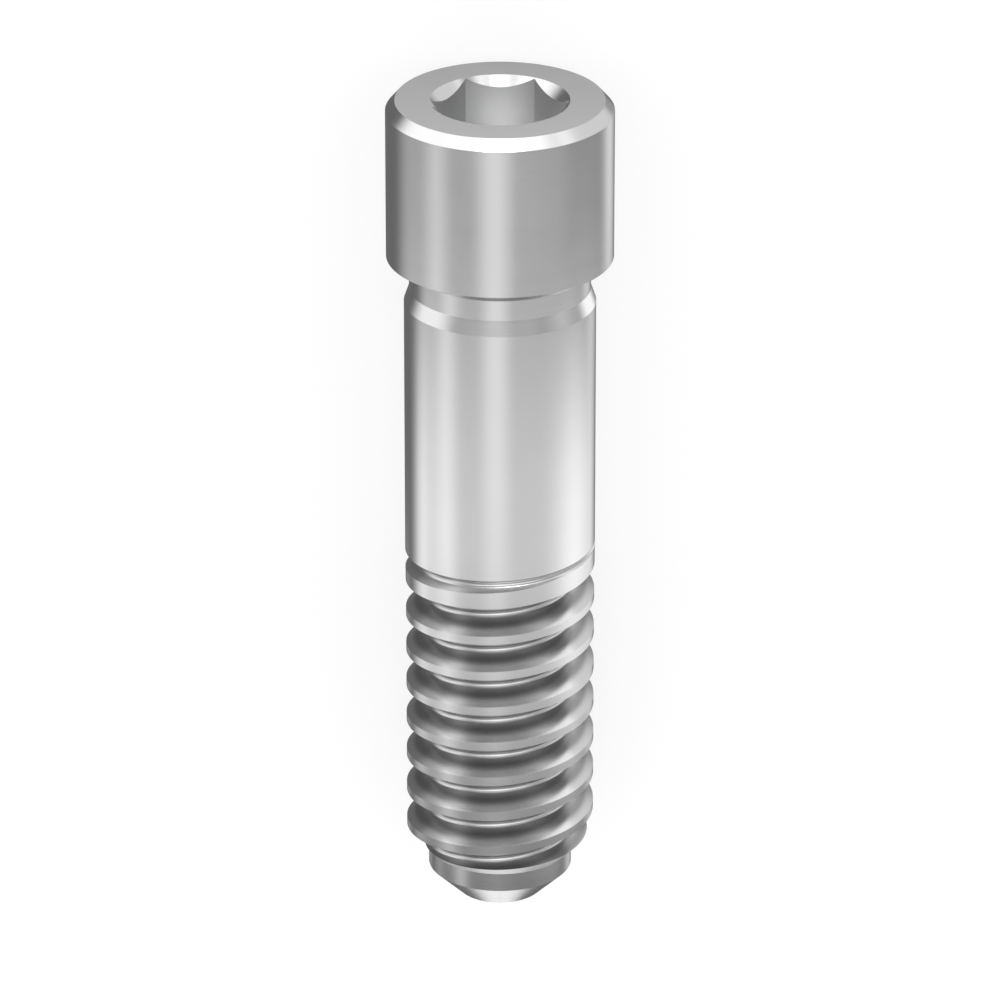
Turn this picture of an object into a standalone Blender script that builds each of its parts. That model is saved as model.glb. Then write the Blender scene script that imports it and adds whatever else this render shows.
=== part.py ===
"""Abutment screw of a dental implant: a one-piece turned titanium screw.

The screw is modelled along its own X axis, with the flat top of the head at
x = 0 and the point at negative x, and is then laid down on the plane z = 0 as
it comes to rest: on the lower rim of its head and on its last full thread.
The axis of the world's X runs from the point to the head. Units are metres.
"""

import math

import bmesh
import bpy
from mathutils import Matrix, Vector

MM = 0.001

# Head: a plain cylinder with a chamfered top and a conical seat below.
HEAD_DIAMETER = 2.30 * MM
HEAD_HEIGHT = 1.665 * MM
TOP_CHAMFER_WIDTH = 0.094 * MM
TOP_CHAMFER_HEIGHT = 0.108 * MM
SEAT_ANGLE = math.radians(30.0)

# Hexagon socket: drilled, countersunk and broached.
SOCKET_ACROSS_FLATS = 1.203 * MM
SOCKET_HEX_DEPTH = 1.00 * MM
SOCKET_COUNTERSINK_MARGIN = 0.008 * MM
SOCKET_COUNTERSINK_ANGLE = math.radians(45.0)
DRILL_CLEARANCE = 0.012 * MM
DRILL_EXTRA_DEPTH = 0.12 * MM
DRILL_POINT_ANGLE = math.radians(59.0)

# Neck and shank.
NECK_DIAMETER = 1.84 * MM
NECK_LENGTH = 0.214 * MM
NECK_TAPER_LENGTH = 0.153 * MM
SHANK_DIAMETER = 1.945 * MM
SHANK_LENGTH = 2.685 * MM

# Thread: metric 60 degree form, right-handed, with truncated crests.
THREAD_DIAMETER = 2.00 * MM
THREAD_PITCH = 0.40 * MM
THREAD_LENGTH = 3.228 * MM
CREST_TRUNCATION = 0.033 * MM
ROOT_ROUND = 0.045 * MM
BLANK_TAPER_TURNS = 1.8
RUNOUT_TURNS = 1.0
RUNOUT_END_TURNS = 0.38
RUNOUT_CLEARANCE = 0.032 * MM
GROOVE_OFFSET = 0.069 * MM
END_CHAMFER_ANGLE = math.radians(45.0)

# Plain point below the thread.
POINT_RELIEF = 0.0015 * MM
POINT_LENGTH = 0.196 * MM
TIP_CHAMFER_WIDTH = 0.30 * MM
TIP_CHAMFER_HEIGHT = 0.29 * MM

# Fineness of the round surfaces.
SEGMENTS = 64
ROOT_SEGMENTS = 3

# Sizes that follow from the ones above.
HEAD_RADIUS = HEAD_DIAMETER / 2
NECK_RADIUS = NECK_DIAMETER / 2
SHANK_RADIUS = SHANK_DIAMETER / 2
HEX_RADIUS = SOCKET_ACROSS_FLATS / math.sqrt(3.0)
COUNTERSINK_RADIUS = HEX_RADIUS + SOCKET_COUNTERSINK_MARGIN
DRILL_RADIUS = SOCKET_ACROSS_FLATS / 2 - DRILL_CLEARANCE
THREAD_RADIUS = THREAD_DIAMETER / 2
CREST_RADIUS = THREAD_RADIUS - CREST_TRUNCATION

# Metric thread form: height of the sharp V, radius of its sharp bottom and
# radius at which the rounded root bottoms out.
FLANK_ANGLE = math.radians(30.0)
SHARP_HEIGHT = THREAD_PITCH * math.sqrt(3.0) / 2
SHARP_RADIUS = THREAD_RADIUS - SHARP_HEIGHT * 7 / 8
ROOT_RADIUS = SHARP_RADIUS + ROOT_ROUND
POINT_RADIUS = ROOT_RADIUS - POINT_RELIEF

# Stations along the axis, from the top of the head down to the tip.
TOP_X = 0.0
HEAD_RIM_X = TOP_X - HEAD_HEIGHT
NECK_TOP_X = HEAD_RIM_X - (HEAD_RADIUS - NECK_RADIUS) * math.tan(SEAT_ANGLE)
NECK_END_X = NECK_TOP_X - NECK_LENGTH
SHANK_TOP_X = NECK_END_X - NECK_TAPER_LENGTH
THREAD_TOP_X = SHANK_TOP_X - SHANK_LENGTH
THREAD_END_X = THREAD_TOP_X - THREAD_LENGTH
POINT_TOP_X = THREAD_END_X - (CREST_RADIUS - POINT_RADIUS) * math.tan(END_CHAMFER_ANGLE)
POINT_END_X = POINT_TOP_X - POINT_LENGTH
TIP_X = POINT_END_X - TIP_CHAMFER_HEIGHT


def clear_scene():
    """Remove every object that the file starts with."""
    for item in list(bpy.data.objects):
        bpy.data.objects.remove(item, do_unlink=True)


def outer_profile():
    """Outline of the turned blank, as (station, radius), from the top of the head to the tip."""
    return [
        (TOP_X, HEAD_RADIUS - TOP_CHAMFER_WIDTH),
        (TOP_X - TOP_CHAMFER_HEIGHT, HEAD_RADIUS),
        (HEAD_RIM_X, HEAD_RADIUS),
        (NECK_TOP_X, NECK_RADIUS),
        (NECK_END_X, NECK_RADIUS),
        (SHANK_TOP_X, SHANK_RADIUS),
        (THREAD_TOP_X, SHANK_RADIUS),
        (THREAD_TOP_X - BLANK_TAPER_TURNS * THREAD_PITCH, CREST_RADIUS),
        (THREAD_END_X, CREST_RADIUS),
        (POINT_TOP_X, POINT_RADIUS),
        (POINT_END_X, POINT_RADIUS),
        (TIP_X, POINT_RADIUS - TIP_CHAMFER_WIDTH),
        (TIP_X, 0.0),
    ]


def socket_profile():
    """Outline of the drilled and countersunk hole, from its bottom up to the top of the head."""
    countersink_depth = (COUNTERSINK_RADIUS - DRILL_RADIUS) * math.tan(SOCKET_COUNTERSINK_ANGLE)
    drill_depth = SOCKET_HEX_DEPTH + DRILL_EXTRA_DEPTH
    drill_point = DRILL_RADIUS / math.tan(DRILL_POINT_ANGLE)
    return [
        (TOP_X - drill_depth - drill_point, 0.0),
        (TOP_X - drill_depth, DRILL_RADIUS),
        (TOP_X - countersink_depth, DRILL_RADIUS),
        (TOP_X, COUNTERSINK_RADIUS),
    ]


def mesh_object(name, mesh_data):
    """Turn a bmesh into a named object in the scene, with its faces pointing out."""
    bmesh.ops.recalc_face_normals(mesh_data, faces=mesh_data.faces)
    mesh = bpy.data.meshes.new(name)
    mesh_data.to_mesh(mesh)
    mesh_data.free()
    item = bpy.data.objects.new(name, mesh)
    bpy.context.scene.collection.objects.link(item)
    return item


def turned_blank(name):
    """Spin the half outline about the X axis, hole included, into a closed solid."""
    shape = bmesh.new()
    half_step = math.pi / SEGMENTS
    points = socket_profile() + outer_profile()
    corners = []
    for station, radius in points:
        place = Vector((station, radius * math.cos(half_step), radius * math.sin(half_step)))
        corners.append(shape.verts.new(place))
    edges = [shape.edges.new(pair) for pair in zip(corners, corners[1:])]
    bmesh.ops.spin(
        shape,
        geom=corners + edges,
        cent=(0.0, 0.0, 0.0),
        axis=(1.0, 0.0, 0.0),
        angle=math.tau,
        steps=SEGMENTS,
        use_merge=True,
    )
    bmesh.ops.remove_doubles(shape, verts=shape.verts, dist=1e-8)
    return mesh_object(name, shape)


def hex_broach(name):
    """Hexagonal cutter for the socket, with two corners in the XY plane."""
    shape = bmesh.new()
    rings = []
    for station in (TOP_X - SOCKET_HEX_DEPTH, TOP_X + SOCKET_ACROSS_FLATS):
        ring = []
        for corner in range(6):
            angle = corner * math.tau / 6
            place = (station, HEX_RADIUS * math.cos(angle), HEX_RADIUS * math.sin(angle))
            ring.append(shape.verts.new(place))
        rings.append(ring)
    bridge_rings(shape, rings)
    return mesh_object(name, shape)


def bridge_rings(shape, rings):
    """Join a row of equal rings of vertices with quads and close both ends."""
    for lower, upper in zip(rings, rings[1:]):
        count = len(lower)
        for index in range(count):
            after = (index + 1) % count
            shape.faces.new((lower[index], lower[after], upper[after], upper[index]))
    shape.faces.new(rings[0])
    shape.faces.new(rings[-1])


def groove_section(outer_radius):
    """Section of the thread groove, as (offset along the axis, radius), closed above the crests."""
    half_width = (THREAD_RADIUS - SHARP_RADIUS) * math.tan(FLANK_ANGLE)
    section = [(half_width, outer_radius), (half_width, THREAD_RADIUS)]
    round_centre = SHARP_RADIUS + ROOT_ROUND / math.sin(FLANK_ANGLE)
    sweep = math.pi / 2 - FLANK_ANGLE
    for step in range(ROOT_SEGMENTS + 1):
        angle = sweep - 2 * sweep * step / ROOT_SEGMENTS
        section.append((ROOT_ROUND * math.sin(angle), round_centre - ROOT_ROUND * math.cos(angle)))
    section += [(-half_width, THREAD_RADIUS), (-half_width, outer_radius)]
    return section


def thread_cutter(name):
    """Right-handed helical groove that rises out of the blank at its top end.

    An angle of 90 degrees is the side that faces up when the screw lies down.
    There the deepest line of the groove passes GROOVE_OFFSET below the top of
    the thread, which fixes the phase of the helix. The groove starts to rise
    RUNOUT_TURNS before its end, which lies RUNOUT_END_TURNS past that side.
    """
    outer_radius = max(SHANK_RADIUS, THREAD_RADIUS) + RUNOUT_CLEARANCE
    section = groove_section(outer_radius)
    rise = SHANK_RADIUS - ROOT_RADIUS + RUNOUT_CLEARANCE
    phase_x = THREAD_TOP_X - GROOVE_OFFSET
    phase_angle = math.pi / 2
    runout_end = phase_angle + RUNOUT_END_TURNS * math.tau
    runout_start = runout_end - RUNOUT_TURNS * math.tau
    turns_below = math.ceil((phase_x - POINT_TOP_X) / THREAD_PITCH) + 1
    step_angle = math.tau / SEGMENTS
    first_step = -turns_below * SEGMENTS
    last_step = math.ceil(runout_end / step_angle)
    shape = bmesh.new()
    rings = []
    for step in range(first_step, last_step + 1):
        angle = step * step_angle
        centre_x = phase_x + THREAD_PITCH * (angle - phase_angle) / math.tau
        lift = rise * max(0.0, (angle - runout_start) / (runout_end - runout_start))
        ring = []
        for offset, radius in section:
            place_radius = radius + lift
            place = (centre_x + offset, place_radius * math.cos(angle), place_radius * math.sin(angle))
            ring.append(shape.verts.new(place))
        rings.append(ring)
    bridge_rings(shape, rings)
    return mesh_object(name, shape)


def cut_with(item, cutter):
    """Subtract a cutter from a piece, and keep the cutter as a hidden guide."""
    cut = item.modifiers.new(cutter.name, "BOOLEAN")
    cut.operation = "DIFFERENCE"
    cut.solver = "EXACT"
    cut.object = cutter
    cutter.parent = item
    cutter.hide_render = True
    cutter.display_type = "WIRE"


def titanium():
    """Satin grey titanium, as turned."""
    material = bpy.data.materials.new("titanium")
    material.use_nodes = True
    shader = material.node_tree.nodes["Principled BSDF"]
    shader.inputs["Base Color"].default_value = (0.60, 0.60, 0.60, 1.0)
    shader.inputs["Metallic"].default_value = 1.0
    shader.inputs["Roughness"].default_value = 0.28
    return material


def lay_down(item):
    """Tip the screw onto its head's rim and its last full crest, above the origin.

    The round pieces have a flat facet underneath, so their lowest line lies at
    the facet's distance from the axis.
    """
    facet = math.cos(math.pi / SEGMENTS)
    drop = (HEAD_RADIUS - CREST_RADIUS) * facet
    tilt = math.atan2(drop, HEAD_RIM_X - THREAD_END_X)
    turn = Matrix.Rotation(-tilt, 4, "Y")
    corners = []
    for station, radius in outer_profile():
        for side in (-1.0, 1.0):
            corners.append(turn @ Vector((station, 0.0, side * radius * facet)))
    low_x = min(corner.x for corner in corners)
    high_x = max(corner.x for corner in corners)
    low_z = min(corner.z for corner in corners)
    item.rotation_euler = turn.to_euler()
    item.location = (-(low_x + high_x) / 2, 0.0, -low_z)


def main():
    clear_scene()
    screw = turned_blank("screw")
    cut_with(screw, hex_broach("hex_broach"))
    cut_with(screw, thread_cutter("thread_cutter"))
    screw.data.materials.append(titanium())
    screw.data.shade_smooth()
    screw.data.set_sharp_from_angle(angle=math.radians(25.0))
    lay_down(screw)


main()
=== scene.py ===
"""Looks of an implant's abutment screw: a finely turned titanium screw lying on a white table.

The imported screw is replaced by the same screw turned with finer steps, which
lies in the same place.
In the screw's own frame the top of the head is at x = 0 and the point at
negative x, and the side that faces up when it lies down is +Z.
"""
import math

import bmesh
import bpy
from mathutils import Matrix, Vector


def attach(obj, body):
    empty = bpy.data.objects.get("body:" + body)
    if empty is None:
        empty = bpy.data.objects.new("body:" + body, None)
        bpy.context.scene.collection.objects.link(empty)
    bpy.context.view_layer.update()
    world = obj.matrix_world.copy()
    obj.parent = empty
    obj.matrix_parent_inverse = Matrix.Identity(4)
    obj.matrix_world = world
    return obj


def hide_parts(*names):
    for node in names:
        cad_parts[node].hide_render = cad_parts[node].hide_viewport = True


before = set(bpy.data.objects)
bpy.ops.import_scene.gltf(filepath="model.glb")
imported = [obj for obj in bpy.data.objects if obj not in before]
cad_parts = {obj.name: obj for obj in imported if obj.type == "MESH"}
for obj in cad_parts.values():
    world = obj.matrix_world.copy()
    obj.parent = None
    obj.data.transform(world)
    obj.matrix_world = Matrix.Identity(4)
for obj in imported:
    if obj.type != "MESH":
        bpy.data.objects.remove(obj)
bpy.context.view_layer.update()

MM = 0.001

# Head with its chamfered top and conical seat.
HEAD_RADIUS = 1.150 * MM
HEAD_HEIGHT = 1.665 * MM
TOP_CHAMFER_WIDTH = 0.094 * MM
TOP_CHAMFER_HEIGHT = 0.108 * MM
SEAT_ANGLE = math.radians(30.0)

# Hexagon socket: drilled, countersunk and broached.
HEX_ACROSS_FLATS = 1.203 * MM
HEX_DEPTH = 1.00 * MM
COUNTERSINK_MARGIN = 0.008 * MM
COUNTERSINK_ANGLE = math.radians(45.0)
DRILL_CLEARANCE = 0.012 * MM
DRILL_EXTRA_DEPTH = 0.12 * MM
DRILL_POINT_ANGLE = math.radians(59.0)

# Neck, shank and thread.
NECK_RADIUS = 0.920 * MM
NECK_LENGTH = 0.214 * MM
NECK_TAPER_LENGTH = 0.153 * MM
SHANK_RADIUS = 0.9725 * MM
SHANK_LENGTH = 2.685 * MM
THREAD_RADIUS = 1.000 * MM
THREAD_PITCH = 0.40 * MM
THREAD_LENGTH = 3.228 * MM
CREST_TRUNCATION = 0.033 * MM
FLANK_ANGLE = math.radians(30.0)
BLANK_TAPER_TURNS = 1.8
RUNOUT_TURNS = 1.0
RUNOUT_END_TURNS = 0.38
RUNOUT_CLEARANCE = 0.032 * MM
GROOVE_OFFSET = 0.069 * MM
END_CHAMFER_ANGLE = math.radians(45.0)

# Plain point.
POINT_RELIEF = 0.0015 * MM
POINT_LENGTH = 0.196 * MM
TIP_CHAMFER_WIDTH = 0.30 * MM
TIP_CHAMFER_HEIGHT = 0.29 * MM

# Fineness of the round surfaces, distance at which points are one, and the angle
# from which an edge stays crisp.
TURN_STEPS = 256
ROOT_STEPS = 16
MERGE_DISTANCE = 0.000001 * MM
CRISP_ANGLE = math.radians(13.0)

# Sizes and stations that follow from the ones above.
HEX_RADIUS = HEX_ACROSS_FLATS / math.sqrt(3.0)
DRILL_RADIUS = HEX_ACROSS_FLATS / 2 - DRILL_CLEARANCE
COUNTERSINK_RADIUS = HEX_RADIUS + COUNTERSINK_MARGIN
CREST_RADIUS = THREAD_RADIUS - CREST_TRUNCATION
SHARP_HEIGHT = THREAD_PITCH * math.sqrt(3.0) / 2
SHARP_RADIUS = THREAD_RADIUS - SHARP_HEIGHT * 7 / 8
ROOT_ROUND = 0.045 * MM
ROOT_RADIUS = SHARP_RADIUS + ROOT_ROUND
POINT_RADIUS = ROOT_RADIUS - POINT_RELIEF
HEAD_RIM_X = -HEAD_HEIGHT
NECK_TOP_X = HEAD_RIM_X - (HEAD_RADIUS - NECK_RADIUS) * math.tan(SEAT_ANGLE)
NECK_END_X = NECK_TOP_X - NECK_LENGTH
SHANK_TOP_X = NECK_END_X - NECK_TAPER_LENGTH
THREAD_TOP_X = SHANK_TOP_X - SHANK_LENGTH
THREAD_END_X = THREAD_TOP_X - THREAD_LENGTH
POINT_TOP_X = THREAD_END_X - (CREST_RADIUS - POINT_RADIUS) * math.tan(END_CHAMFER_ANGLE)
POINT_END_X = POINT_TOP_X - POINT_LENGTH
TIP_X = POINT_END_X - TIP_CHAMFER_HEIGHT

# Finish: pitches of the cutting marks, size and detail of the wear patches, and
# relief of the marks.
COARSE_MARK_PITCH = 0.035 * MM
FINE_MARK_PITCH = 0.012 * MM
WEAR_SIZE = 0.40 * MM
WEAR_DETAIL = 5.0
MARK_RELIEF = 0.00008 * MM

# Painted shade on the flanks of the groove, as darker bands: place beside its deepest line,
# positive towards the head, half width, fade and depth, and the radius where they end.
HEAD_SIDE_PAINTED_SHADE = (0.050 * MM, 0.045 * MM, 0.030 * MM, 0.60)
POINT_SIDE_PAINTED_SHADE = (-0.088 * MM, 0.035 * MM, 0.060 * MM, 0.48)
PAINTED_SHADE_TOP_RADIUS = 0.90 * MM
PAINTED_SHADE_TOP_FADE = 0.08 * MM

# Camera: where it aims on the screw's axis, its distance, its lean towards the head,
# its full angle of view, its sensor in millimetres and the depths that it sees.
AIM_X = -4.389 * MM
CAMERA_DISTANCE = 77.891 * MM
CAMERA_RISE = math.radians(24.358)
CAMERA_FIELD = math.radians(7.5105)
CAMERA_SENSOR = 36.0
CAMERA_NEAREST = 1 * MM
CAMERA_FURTHEST = 10000 * MM


def bar_outline():
    """Outline of the turned bar, as (station, radius), from the top of the head to the tip.

    A ring on the shank, one pitch above the thread, keeps the long faces clear of its run-out.
    """
    return [
        (0.0, HEAD_RADIUS - TOP_CHAMFER_WIDTH),
        (-TOP_CHAMFER_HEIGHT, HEAD_RADIUS),
        (HEAD_RIM_X, HEAD_RADIUS),
        (NECK_TOP_X, NECK_RADIUS),
        (NECK_END_X, NECK_RADIUS),
        (SHANK_TOP_X, SHANK_RADIUS),
        (THREAD_TOP_X + THREAD_PITCH, SHANK_RADIUS),
        (THREAD_TOP_X, SHANK_RADIUS),
        (THREAD_TOP_X - BLANK_TAPER_TURNS * THREAD_PITCH, CREST_RADIUS),
        (THREAD_END_X, CREST_RADIUS),
        (POINT_TOP_X, POINT_RADIUS),
        (POINT_END_X, POINT_RADIUS),
        (TIP_X, POINT_RADIUS - TIP_CHAMFER_WIDTH),
        (TIP_X, 0.0),
    ]


def bore_outline():
    """Outline of the drilled and countersunk hole, from its bottom up to the top of the head."""
    countersink_depth = (COUNTERSINK_RADIUS - DRILL_RADIUS) * math.tan(COUNTERSINK_ANGLE)
    drill_depth = HEX_DEPTH + DRILL_EXTRA_DEPTH
    drill_point = DRILL_RADIUS / math.tan(DRILL_POINT_ANGLE)
    return [
        (-drill_depth - drill_point, 0.0),
        (-drill_depth, DRILL_RADIUS),
        (-countersink_depth, DRILL_RADIUS),
        (0.0, COUNTERSINK_RADIUS),
    ]


def mesh_object(name, shape):
    """Turn a bmesh into a named object in the scene, with its faces pointing out."""
    bmesh.ops.recalc_face_normals(shape, faces=shape.faces)
    mesh = bpy.data.meshes.new(name)
    shape.to_mesh(mesh)
    shape.free()
    item = bpy.data.objects.new(name, mesh)
    bpy.context.scene.collection.objects.link(item)
    return item


def turned_bar(name):
    """Spin the outline about the X axis, hole included, into a closed solid."""
    shape = bmesh.new()
    half_step = math.pi / TURN_STEPS
    corners = []
    for station, radius in bore_outline() + bar_outline():
        corners.append(
            shape.verts.new((station, radius * math.cos(half_step), radius * math.sin(half_step)))
        )
    edges = [shape.edges.new(pair) for pair in zip(corners, corners[1:])]
    bmesh.ops.spin(
        shape,
        geom=corners + edges,
        cent=(0.0, 0.0, 0.0),
        axis=(1.0, 0.0, 0.0),
        angle=math.tau,
        steps=TURN_STEPS,
        use_merge=True,
    )
    bmesh.ops.remove_doubles(shape, verts=shape.verts, dist=MERGE_DISTANCE)
    return mesh_object(name, shape)


def joined_rings(name, rings):
    """Join a row of equal rings of points with quads and close both ends."""
    shape = bmesh.new()
    loops = [[shape.verts.new(point) for point in ring] for ring in rings]
    for lower, upper in zip(loops, loops[1:]):
        count = len(lower)
        for index in range(count):
            after = (index + 1) % count
            shape.faces.new((lower[index], lower[after], upper[after], upper[index]))
    shape.faces.new(loops[0])
    shape.faces.new(loops[-1])
    return mesh_object(name, shape)


def hexagon_broach(name):
    """Hexagonal broach that cuts the socket, with two corners in the XY plane."""
    rings = []
    for station in (-HEX_DEPTH, HEX_ACROSS_FLATS):
        ring = []
        for corner in range(6):
            angle = corner * math.tau / 6
            ring.append((station, HEX_RADIUS * math.cos(angle), HEX_RADIUS * math.sin(angle)))
        rings.append(ring)
    return joined_rings(name, rings)


def groove_section(outer_radius):
    """Section of the thread groove, as (offset along the axis, radius), closed above the crests."""
    half_width = (THREAD_RADIUS - SHARP_RADIUS) * math.tan(FLANK_ANGLE)
    section = [(half_width, outer_radius), (half_width, THREAD_RADIUS)]
    round_centre = SHARP_RADIUS + ROOT_ROUND / math.sin(FLANK_ANGLE)
    sweep = math.pi / 2 - FLANK_ANGLE
    for step in range(ROOT_STEPS + 1):
        angle = sweep - 2 * sweep * step / ROOT_STEPS
        section.append((ROOT_ROUND * math.sin(angle), round_centre - ROOT_ROUND * math.cos(angle)))
    section += [(-half_width, THREAD_RADIUS), (-half_width, outer_radius)]
    return section


def thread_tool(name):
    """Right-handed helical groove that rises out of the bar at its top end."""
    outer_radius = max(SHANK_RADIUS, THREAD_RADIUS) + RUNOUT_CLEARANCE
    section = groove_section(outer_radius)
    rise = SHANK_RADIUS - ROOT_RADIUS + RUNOUT_CLEARANCE
    phase_x = THREAD_TOP_X - GROOVE_OFFSET
    phase_angle = math.pi / 2
    runout_end = phase_angle + RUNOUT_END_TURNS * math.tau
    runout_start = runout_end - RUNOUT_TURNS * math.tau
    turns_below = math.ceil((phase_x - POINT_TOP_X) / THREAD_PITCH) + 1
    step_angle = math.tau / TURN_STEPS
    rings = []
    for step in range(-turns_below * TURN_STEPS, math.ceil(runout_end / step_angle) + 1):
        angle = step * step_angle
        centre_x = phase_x + THREAD_PITCH * (angle - phase_angle) / math.tau
        lift = rise * max(0.0, (angle - runout_start) / (runout_end - runout_start))
        ring = []
        for offset, radius in section:
            reach = radius + lift
            ring.append((centre_x + offset, reach * math.cos(angle), reach * math.sin(angle)))
        rings.append(ring)
    return joined_rings(name, rings)


def cut_away(piece, tool, finish):
    """Subtract a tool from the piece for good, leaving its finish on the cut, and remove the tool."""
    tool.data.materials.append(finish)
    cut = piece.modifiers.new(tool.name, "BOOLEAN")
    cut.operation = "DIFFERENCE"
    cut.solver = "EXACT"
    cut.material_mode = "TRANSFER"
    cut.object = tool
    scene = bpy.context.evaluated_depsgraph_get()
    mesh = bpy.data.meshes.new_from_object(piece.evaluated_get(scene))
    piece.modifiers.clear()
    piece.data = mesh
    bpy.data.objects.remove(tool, do_unlink=True)


def lying_place():
    """Place of a screw tipped onto its head's rim and its last full crest, above the origin."""
    facet = math.cos(math.pi / TURN_STEPS)
    drop = (HEAD_RADIUS - CREST_RADIUS) * facet
    tilt = math.atan2(drop, HEAD_RIM_X - THREAD_END_X)
    turn = Matrix.Rotation(-tilt, 4, "Y")
    corners = []
    for station, radius in bar_outline():
        for side in (-1.0, 1.0):
            corners.append(turn @ Vector((station, 0.0, side * radius * facet)))
    low_x = min(corner.x for corner in corners)
    high_x = max(corner.x for corner in corners)
    low_z = min(corner.z for corner in corners)
    return Matrix.Translation((-(low_x + high_x) / 2, 0.0, -low_z)) @ turn


def add_node(tree, kind, **settings):
    """Add a shader node and set its plain settings."""
    node = tree.nodes.new(kind)
    for name, value in settings.items():
        setattr(node, name, value)
    return node


def arithmetic(tree, operation, *values):
    """Math node whose inputs are numbers or other nodes' outputs."""
    node = add_node(tree, "ShaderNodeMath", operation=operation)
    for socket, value in zip(node.inputs, values):
        if isinstance(value, bpy.types.NodeSocket):
            tree.links.new(value, socket)
        else:
            socket.default_value = value
    return node.outputs[0]


def soft_window():
    """Group: 1 within a half width of a middle, falling smoothly to 0 over the softness."""
    group = bpy.data.node_groups.new("soft_window", "ShaderNodeTree")
    for name in ("From Middle", "Half Width", "Softness"):
        group.interface.new_socket(name, in_out="INPUT", socket_type="NodeSocketFloat")
    group.interface.new_socket("Mask", in_out="OUTPUT", socket_type="NodeSocketFloat")
    given = add_node(group, "NodeGroupInput").outputs
    away = arithmetic(group, "ABSOLUTE", given["From Middle"])
    half_soft = arithmetic(group, "MULTIPLY", given["Softness"], 0.5)
    ramp = add_node(group, "ShaderNodeMapRange", interpolation_type="SMOOTHSTEP")
    group.links.new(away, ramp.inputs["Value"])
    fade_start = arithmetic(group, "SUBTRACT", given["Half Width"], half_soft)
    group.links.new(fade_start, ramp.inputs["From Min"])
    fade_end = arithmetic(group, "ADD", given["Half Width"], half_soft)
    group.links.new(fade_end, ramp.inputs["From Max"])
    ramp.inputs["To Min"].default_value = 1.0
    ramp.inputs["To Max"].default_value = 0.0
    result = add_node(group, "NodeGroupOutput")
    group.links.new(ramp.outputs["Result"], result.inputs["Mask"])
    return group


def window_mask(tree, group, from_middle, half_width, softness):
    """Place the soft window group with its own values."""
    node = add_node(tree, "ShaderNodeGroup", node_tree=group)
    tree.links.new(from_middle, node.inputs["From Middle"])
    node.inputs["Half Width"].default_value = half_width
    node.inputs["Softness"].default_value = softness
    return node.outputs["Mask"]


def own_place(tree):
    """Place in the screw's own frame: its station, radius and angle, and the point itself."""
    back = lying_place().inverted()
    texture = add_node(tree, "ShaderNodeTexCoord")
    mapping = add_node(tree, "ShaderNodeMapping", vector_type="POINT")
    mapping.inputs["Location"].default_value = back.to_translation()
    mapping.inputs["Rotation"].default_value = back.to_euler()
    tree.links.new(texture.outputs["Object"], mapping.inputs["Vector"])
    parts = add_node(tree, "ShaderNodeSeparateXYZ")
    tree.links.new(mapping.outputs[0], parts.inputs[0])
    across, upward = parts.outputs["Y"], parts.outputs["Z"]
    square = arithmetic(tree, "MULTIPLY", upward, upward)
    radius = arithmetic(tree, "SQRT", arithmetic(tree, "MULTIPLY_ADD", across, across, square))
    angle = arithmetic(tree, "ARCTAN2", across, upward)
    return parts.outputs["X"], radius, angle, mapping.outputs[0]


def mark_noise(tree, position, pitch):
    """Noise along one position, with features about one pitch wide."""
    noise = add_node(tree, "ShaderNodeTexNoise", noise_dimensions="1D")
    noise.inputs["Scale"].default_value = 1.0 / pitch
    tree.links.new(position, noise.inputs["W"])
    return noise.outputs[0]


def cut_finish():
    """Group: marks that a cutting tool leaves across a direction, and slight wear.

    The shares say how far the marks change along the axis, outwards and round it.
    """
    group = bpy.data.node_groups.new("cut_finish", "ShaderNodeTree")
    names = ["Axial Share", "Radial Share", "Round Share"]
    names += ["Tone", "Tone Spread", "Painted Shade", "Roughness", "Roughness Spread"]
    for name in names:
        group.interface.new_socket(name, in_out="INPUT", socket_type="NodeSocketFloat")
    group.interface.new_socket("Color", in_out="OUTPUT", socket_type="NodeSocketColor")
    for name in ("Roughness", "Height"):
        group.interface.new_socket(name, in_out="OUTPUT", socket_type="NodeSocketFloat")
    given = add_node(group, "NodeGroupInput").outputs
    station, radius, angle, point = own_place(group)
    across_cut = arithmetic(group, "MULTIPLY", station, given["Axial Share"])
    across_cut = arithmetic(group, "MULTIPLY_ADD", radius, given["Radial Share"], across_cut)
    across_cut = arithmetic(group, "MULTIPLY_ADD", angle, given["Round Share"], across_cut)
    coarse = mark_noise(group, across_cut, COARSE_MARK_PITCH)
    fine = mark_noise(group, across_cut, FINE_MARK_PITCH)
    marks = arithmetic(group, "MULTIPLY", arithmetic(group, "ADD", coarse, fine), 0.5)
    wear = add_node(group, "ShaderNodeTexNoise", noise_dimensions="3D")
    wear.inputs["Scale"].default_value = 1.0 / WEAR_SIZE
    wear.inputs["Detail"].default_value = WEAR_DETAIL
    group.links.new(point, wear.inputs["Vector"])
    uneven = arithmetic(group, "SUBTRACT", arithmetic(group, "ADD", marks, wear.outputs[0]), 1.0)
    tone = arithmetic(group, "MULTIPLY_ADD", uneven, given["Tone Spread"], given["Tone"])
    # Painted shade: the tone is darkened by the amount given.
    tone = arithmetic(group, "MULTIPLY", tone, arithmetic(group, "SUBTRACT", 1.0, given["Painted Shade"]))
    tint = add_node(group, "ShaderNodeCombineColor")
    for channel in ("Red", "Green", "Blue"):
        group.links.new(tone, tint.inputs[channel])
    rough = arithmetic(group, "MULTIPLY_ADD", uneven, given["Roughness Spread"], given["Roughness"])
    result = add_node(group, "NodeGroupOutput")
    group.links.new(tint.outputs[0], result.inputs["Color"])
    group.links.new(rough, result.inputs["Roughness"])
    group.links.new(marks, result.inputs["Height"])
    return group


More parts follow.
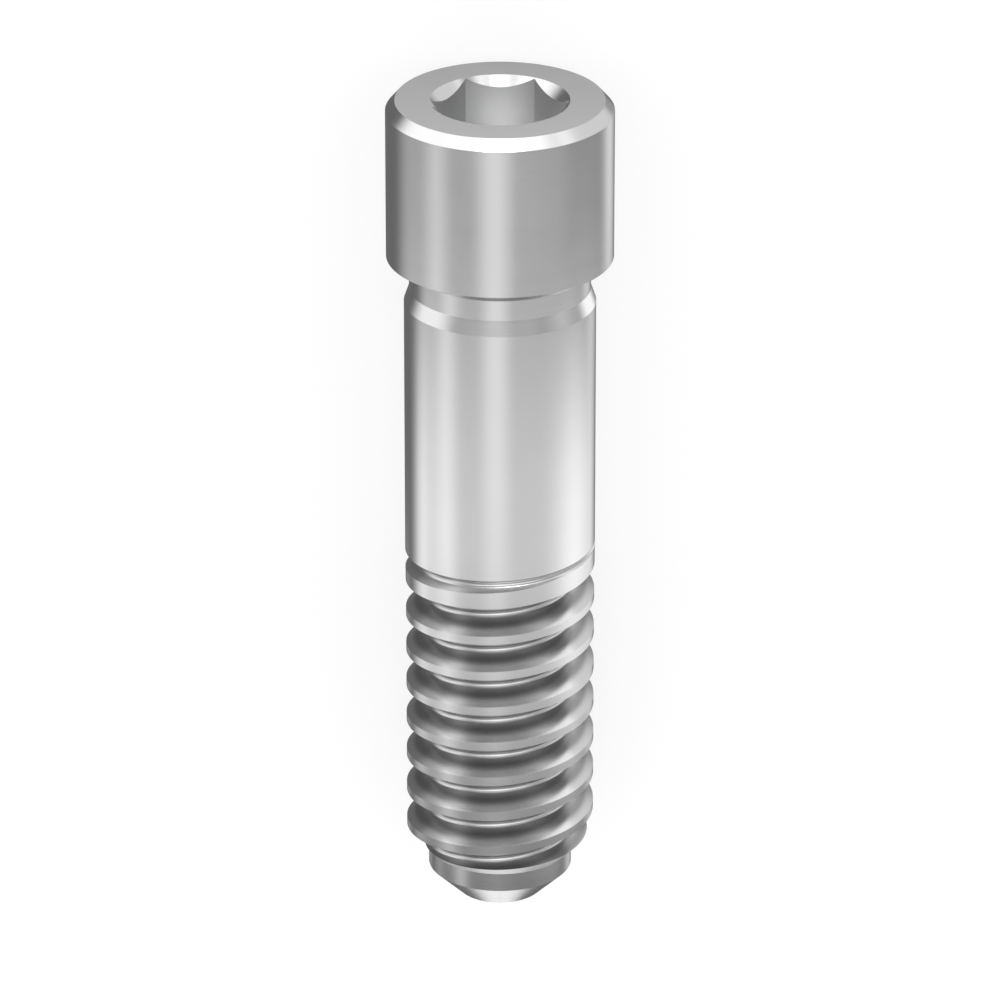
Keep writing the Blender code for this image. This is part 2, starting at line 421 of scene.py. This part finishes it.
def bare_metal(name, finish, **values):
    """Bare metal with the given finish group and its values; returns it with the group node."""
    material = bpy.data.materials.new(name)
    material.use_nodes = True
    tree = material.node_tree
    shader = tree.nodes["Principled BSDF"]
    shader.inputs["Metallic"].default_value = 1.0
    marks = add_node(tree, "ShaderNodeGroup", node_tree=finish)
    for label, value in values.items():
        marks.inputs[label.replace("_", " ").title()].default_value = value
    tree.links.new(marks.outputs["Color"], shader.inputs["Base Color"])
    tree.links.new(marks.outputs["Roughness"], shader.inputs["Roughness"])
    bump = add_node(tree, "ShaderNodeBump")
    bump.inputs["Distance"].default_value = MARK_RELIEF
    tree.links.new(marks.outputs["Height"], bump.inputs["Height"])
    tree.links.new(bump.outputs["Normal"], shader.inputs["Normal"])
    return material, marks


def turned_titanium(finish):
    """Titanium as turned and faced, with rings round the axis."""
    material, _ = bare_metal(
        "turned_titanium", finish, axial_share=1.0, radial_share=0.8,
        tone=0.80, tone_spread=0.03, roughness=0.18, roughness_spread=0.04,
    )
    return material


def broached_titanium_painted_light(finish):
    """Titanium of the hexagon: less glossy and scored lengthwise by the broach, with a brighter tone
    that paints light into the socket.
    """
    material, _ = bare_metal(
        "broached_titanium_painted_light", finish, round_share=HEX_RADIUS,
        # The tone above the turned metal's is painted light in the socket.
        tone=0.95, tone_spread=0.03, roughness=0.30, roughness_spread=0.04,
    )
    return material


def groove_painted_shade(window):
    """Group: how much painted shade darkens the flanks of the groove, between its root and its crests.
    """
    group = bpy.data.node_groups.new("groove_painted_shade", "ShaderNodeTree")
    group.interface.new_socket("Mask", in_out="OUTPUT", socket_type="NodeSocketFloat")
    station, radius, angle, _ = own_place(group)
    beside = arithmetic(group, "SUBTRACT", station, THREAD_TOP_X - GROOVE_OFFSET)
    beside = arithmetic(group, "MULTIPLY_ADD", angle, THREAD_PITCH / math.tau, beside)
    beside = arithmetic(group, "WRAP", beside, THREAD_PITCH / 2, -THREAD_PITCH / 2)
    painted_shade = 0.0
    # Each band darkens the colour of the flank as painted shade.
    for middle, half_width, fade, depth in (HEAD_SIDE_PAINTED_SHADE, POINT_SIDE_PAINTED_SHADE):
        off_middle = arithmetic(group, "SUBTRACT", beside, middle)
        band = window_mask(group, window, off_middle, half_width, fade)
        painted_shade = arithmetic(group, "MULTIPLY_ADD", band, depth, painted_shade)
    low = window_mask(group, window, radius, PAINTED_SHADE_TOP_RADIUS, PAINTED_SHADE_TOP_FADE)
    result = add_node(group, "NodeGroupOutput")
    group.links.new(arithmetic(group, "MULTIPLY", painted_shade, low), result.inputs["Mask"])
    return group


def threaded_titanium(finish, window):
    """Titanium of the thread groove, scored along the groove, with painted shade that darkens its
    flanks.
    """
    material, marks = bare_metal(
        "threaded_titanium", finish, axial_share=1.0, radial_share=0.8,
        round_share=THREAD_PITCH / math.tau,
        tone=0.80, tone_spread=0.03, roughness=0.20, roughness_spread=0.04,
    )
    tree = material.node_tree
    # Painted shade on the flanks of the groove darkens the colour.
    painted_shade = add_node(tree, "ShaderNodeGroup", node_tree=groove_painted_shade(window))
    tree.links.new(painted_shade.outputs["Mask"], marks.inputs["Painted Shade"])
    return material


def implant_screw(window):
    """The whole screw at full fineness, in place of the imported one."""
    finish = cut_finish()
    screw = turned_bar("implant_screw")
    screw.data.materials.append(turned_titanium(finish))
    cut_away(screw, hexagon_broach("hexagon_broach"), broached_titanium_painted_light(finish))
    cut_away(screw, thread_tool("thread_tool"), threaded_titanium(finish, window))
    screw.data.shade_smooth()
    screw.data.set_sharp_from_angle(angle=CRISP_ANGLE)
    screw.data.transform(lying_place())
    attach(screw, "root")
    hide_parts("screw")


# Table: its width, how light its matt top is, and how far it is lifted towards white.
TABLE_SIZE = 600 * MM
TABLE_MATT = 0.30
TABLE_LIFT = 0.74

# Light tent.
TENT_RADIUS = 40 * MM
TENT_HEAD_END = 160 * MM
TENT_TIP_END = -160 * MM
TENT_STEPS = 96


def white_table():
    """Plain white table top that keeps a soft shadow."""
    shape = bmesh.new()
    half = TABLE_SIZE / 2
    corners = [(-half, -half, 0.0), (half, -half, 0.0), (half, half, 0.0), (-half, half, 0.0)]
    shape.faces.new([shape.verts.new(corner) for corner in corners])
    table = mesh_object("white_table", shape)
    table.data.materials.append(table_white())
    table.visible_glossy = False


def table_white():
    """White matt table, lifted for the camera so that its open parts come out white."""
    material = bpy.data.materials.new("table_white")
    material.use_nodes = True
    tree = material.node_tree
    tree.nodes.clear()
    matt = add_node(tree, "ShaderNodeBsdfDiffuse")
    matt.inputs["Color"].default_value = (TABLE_MATT, TABLE_MATT, TABLE_MATT, 1.0)
    glow = add_node(tree, "ShaderNodeEmission")
    seen = add_node(tree, "ShaderNodeLightPath")
    shown = arithmetic(tree, "MAXIMUM", seen.outputs["Is Camera Ray"], seen.outputs["Is Glossy Ray"])
    shown = arithmetic(tree, "MAXIMUM", shown, seen.outputs["Is Transmission Ray"])
    strength = arithmetic(tree, "MULTIPLY", shown, TABLE_LIFT)
    tree.links.new(strength, glow.inputs["Strength"])
    both = add_node(tree, "ShaderNodeAddShader")
    tree.links.new(matt.outputs[0], both.inputs[0])
    tree.links.new(glow.outputs[0], both.inputs[1])
    out = add_node(tree, "ShaderNodeOutputMaterial")
    tree.links.new(both.outputs[0], out.inputs["Surface"])
    return material


# Panels of the tent: brightness, then centre, half width and fade of the angle round
# the screw, in degrees, 0 above it and positive to the camera's right, then start,
# end and fade along the tent in millimetres, 0 at the top of the head.
TENT_PANELS = {
    "overhead strip": (0.20, (-5, 13, 24), (-25.5, 120, 3.5)),
    "overhead strip over the head": (0.20, (-6, 13, 26), (-20, -5, 4)),
    "left strip": (0.30, (-66, 10, 26), (-54, 6, 10)),
    "upper wash": (0.25, (-24, 92, 30), (-20, 120, 4.5)),
    "upper right wash": (0.15, (116, 48, 30), (-20, 120, 4.5)),
    "shank wash": (0.75, (18, 132, 28), (-25.5, -20, 4)),
    "shank left": (0.15, (-92, 20, 28), (-26, -19, 5)),
    "shank far left": (0.40, (-117, 11, 24), (-28, -20, 5)),
    "shank right": (0.50, (98, 24, 50), (-26, -20, 5)),
    "shank far right": (0.15, (152, 10, 24), (-26.5, -20, 5)),
    "thread far right": (0.40, (146, 14, 24), (-33, -26, 4)),
    "thread far left": (0.15, (-154, 10, 16), (-33, -23, 4)),
    "head far right": (0.50, (142, 12, 26), (-19, -11, 4)),
    "left card": (0.70, (-93, 24, 34), (-6, 6, 6)),
    "right card": (0.90, (132, 20, 24), (-11, -2, 4)),
    "taper right": (0.15, (82, 24, 20), (-6, 8, 5)),
    "middle lamp": (0.80, (0, 40, 30), (-10, 4, 5)),
    "outer left": (0.20, (-138, 20, 24), (18, 62, 8)),
    "upper left card": (0.85, (-98, 24, 24), (12, 48, 8)),
    "upper right card": (0.45, (112, 38, 24), (3, 45, 8)),
    "right end of the chamfer": (0.50, (74, 16, 24), (24, 50, 8)),
    "rear left card": (0.55, (-122, 22, 24), (42, 140, 8)),
    "rear right card": (0.75, (122, 26, 24), (42, 140, 8)),
    "head end wash": (1.00, (-14, 80, 30), (43, 90, 8)),
    "key lamp": (5.00, (0, 25, 20), (50, 88, 6)),
    "table side": (0.75, (180, 20, 24), (16, 160, 8)),
    "strip beyond the point": (0.55, (-5, 22, 40), (-62, -38, 6)),
    "right card beyond the point": (0.40, (100, 44, 30), (-62, -33.5, 4)),
    "left card beyond the point": (0.40, (-100, 44, 30), (-62, -33.5, 4)),
    "point end": (1.00, (0, 180, 1), (-160, -68, 26)),
}
TENT_DARK = 0.15
HALF_TURN = 180.0


def tent_cloth(window):
    """Glow of the light tent: soft panels with darker gaps between them."""
    material = bpy.data.materials.new("tent_cloth")
    material.use_nodes = True
    tree = material.node_tree
    tree.nodes.clear()
    place = add_node(tree, "ShaderNodeTexCoord").outputs["Object"]
    parts = add_node(tree, "ShaderNodeSeparateXYZ")
    tree.links.new(place, parts.inputs[0])
    right = arithmetic(tree, "MULTIPLY", parts.outputs["Y"], -1.0)
    angle = arithmetic(tree, "ARCTAN2", right, parts.outputs["Z"])
    angle = arithmetic(tree, "DEGREES", angle)
    along = arithmetic(tree, "DIVIDE", parts.outputs["X"], MM)
    glow = TENT_DARK
    for brightness, (centre, half_width, round_fade), (start, end, long_fade) in TENT_PANELS.values():
        round_off = arithmetic(tree, "SUBTRACT", angle, centre)
        round_off = arithmetic(tree, "WRAP", round_off, HALF_TURN, -HALF_TURN)
        across = window_mask(tree, window, round_off, half_width, round_fade)
        long_off = arithmetic(tree, "SUBTRACT", along, (start + end) / 2)
        lengthwise = window_mask(tree, window, long_off, (end - start) / 2, long_fade)
        panel = arithmetic(tree, "MULTIPLY", across, lengthwise)
        glow = arithmetic(tree, "MULTIPLY_ADD", panel, brightness, glow)
    shader = add_node(tree, "ShaderNodeEmission")
    tree.links.new(glow, shader.inputs["Strength"])
    out = add_node(tree, "ShaderNodeOutputMaterial")
    tree.links.new(shader.outputs[0], out.inputs["Surface"])
    return material


def light_tent(window):
    """Tube of glowing cloth round the screw's axis, which only the metal reflects."""
    shape = bmesh.new()
    loops = []
    for station in (TENT_TIP_END, TENT_HEAD_END):
        loop = []
        for step in range(TENT_STEPS):
            angle = step * math.tau / TENT_STEPS
            loop.append(
                shape.verts.new((station, TENT_RADIUS * math.sin(angle), TENT_RADIUS * math.cos(angle)))
            )
        loops.append(loop)
    for index in range(TENT_STEPS):
        after = (index + 1) % TENT_STEPS
        shape.faces.new((loops[0][index], loops[0][after], loops[1][after], loops[1][index]))
    tent = mesh_object("light_tent", shape)
    tent.data.materials.append(tent_cloth(window))
    tent.matrix_world = lying_place()
    tent.visible_camera = False
    tent.visible_diffuse = False
    tent.visible_transmission = False
    tent.visible_shadow = False


def studio_light():
    """Even white light from all round."""
    world = bpy.data.worlds.new("white_studio")
    world.use_nodes = True
    world.node_tree.nodes["Background"].inputs["Color"].default_value = (1.0, 1.0, 1.0, 1.0)
    world.node_tree.nodes["Background"].inputs["Strength"].default_value = 1.0
    bpy.context.scene.world = world


def camera():
    """Camera above the lying screw, leaning towards its head."""
    place = lying_place()
    aim = Vector((AIM_X, 0.0, 0.0))
    back = Vector((math.sin(CAMERA_RISE), 0.0, math.cos(CAMERA_RISE)))
    up = Vector((math.cos(CAMERA_RISE), 0.0, -math.sin(CAMERA_RISE)))
    right = up.cross(back)
    eye = aim + back * CAMERA_DISTANCE
    turn = Matrix((right, up, back)).transposed().to_4x4()
    lens = bpy.data.cameras.new("camera")
    lens.sensor_width = CAMERA_SENSOR
    lens.lens = lens.sensor_width / 2 / math.tan(CAMERA_FIELD / 2)
    lens.clip_start = CAMERA_NEAREST
    lens.clip_end = CAMERA_FURTHEST
    viewer = bpy.data.objects.new("camera", lens)
    bpy.context.scene.collection.objects.link(viewer)
    viewer.matrix_world = place @ Matrix.Translation(eye) @ turn
    bpy.context.scene.camera = viewer


soft_mask = soft_window()
implant_screw(soft_mask)
white_table()
light_tent(soft_mask)
studio_light()
camera()
bpy.context.scene.view_settings.view_transform = "Standard"
